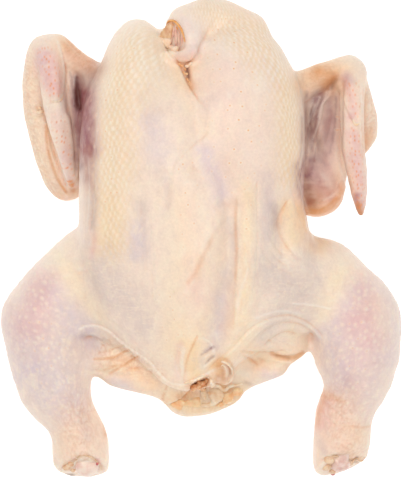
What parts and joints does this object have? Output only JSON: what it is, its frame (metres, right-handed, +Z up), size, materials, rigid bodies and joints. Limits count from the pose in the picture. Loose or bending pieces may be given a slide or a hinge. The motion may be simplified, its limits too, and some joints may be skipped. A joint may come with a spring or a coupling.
{
  "type": "whole raw chicken",
  "caption": "whole raw dressed chicken lying on its back, breast up, legs spread, wings folded, skin on",
  "frame": {"origin": "on the resting plane, under the middle of the bird's box", "axes": "+Z up through the breast, +Y from the tail to the neck, +X to the right seen from above with the neck away"},
  "size_m": [0.2505, 0.2996, 0.1071],
  "materials": {
    "skin": "moist raw skin, soft sheen",
    "cartilage": "wet, smooth"
  },
  "bodies": {
    "root": {"bird": "skin", "left_knuckle": "cartilage", "right_knuckle": "cartilage"}
  },
  "joints": []
}
